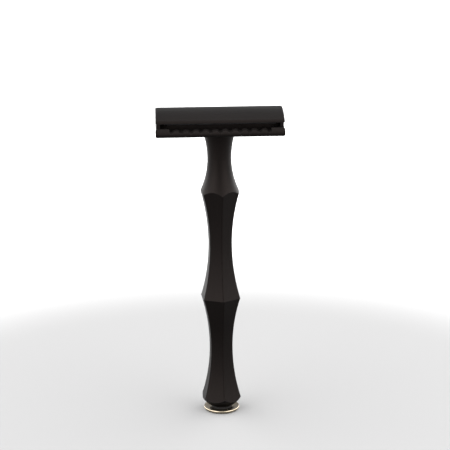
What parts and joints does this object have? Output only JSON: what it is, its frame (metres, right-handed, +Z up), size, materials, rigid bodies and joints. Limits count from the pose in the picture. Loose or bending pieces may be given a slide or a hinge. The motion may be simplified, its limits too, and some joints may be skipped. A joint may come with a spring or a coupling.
{
  "type": "safety razor",
  "caption": "Double-edge safety razor: domed cap, curved blade and scalloped guard plate on a waisted six-sided handle with a polished disc foot. The head unscrews and the cap lifts off.",
  "frame": {"origin": "middle of the flat underside of the foot disc, on the surface that the razor stands on", "axes": "+Z up the handle to the head, X along the head and its cutting edges, Y across the head; -Y is the side seen in the picture"},
  "size_m": [0.0434, 0.0248, 0.1091],
  "materials": {
    "black_moulding": "satin moulded, near black",
    "steel": "turned",
    "blade_steel": "ground, polished bevels",
    "insert_brass": "turned and knurled",
    "spacer_black": "matte",
    "foot_metal": "polished, warm pale nickel"
  },
  "bodies": {
    "handle_body": {"handle": "black_moulding", "thread_insert": "insert_brass", "core_rod": "steel", "foot_spacer": "spacer_black", "foot_disc": "foot_metal"},
    "baseplate_body": {"baseplate": "black_moulding", "blade": "blade_steel"},
    "cap_body": {"cap": "black_moulding", "cap_stud": "steel", "locating_pin_left": "steel", "locating_pin_right": "steel"}
  },
  "joints": [
    {"name": "head_turn", "type": "hinge", "parent": "handle_body", "child": "baseplate_body", "pos_m": [0, 0, 0.1015], "axis": [0, 0, 1], "range_deg": [0, 2880]},
    {"name": "cap_lift", "type": "slide", "parent": "baseplate_body", "child": "cap_body", "axis": [0, 0, 1], "range_m": [0, 0.00641]}
  ],
  "couplings": [
    {"joint": "cap_lift", "follows": "head_turn", "m_per_rad": 0.00012732}
  ]
}
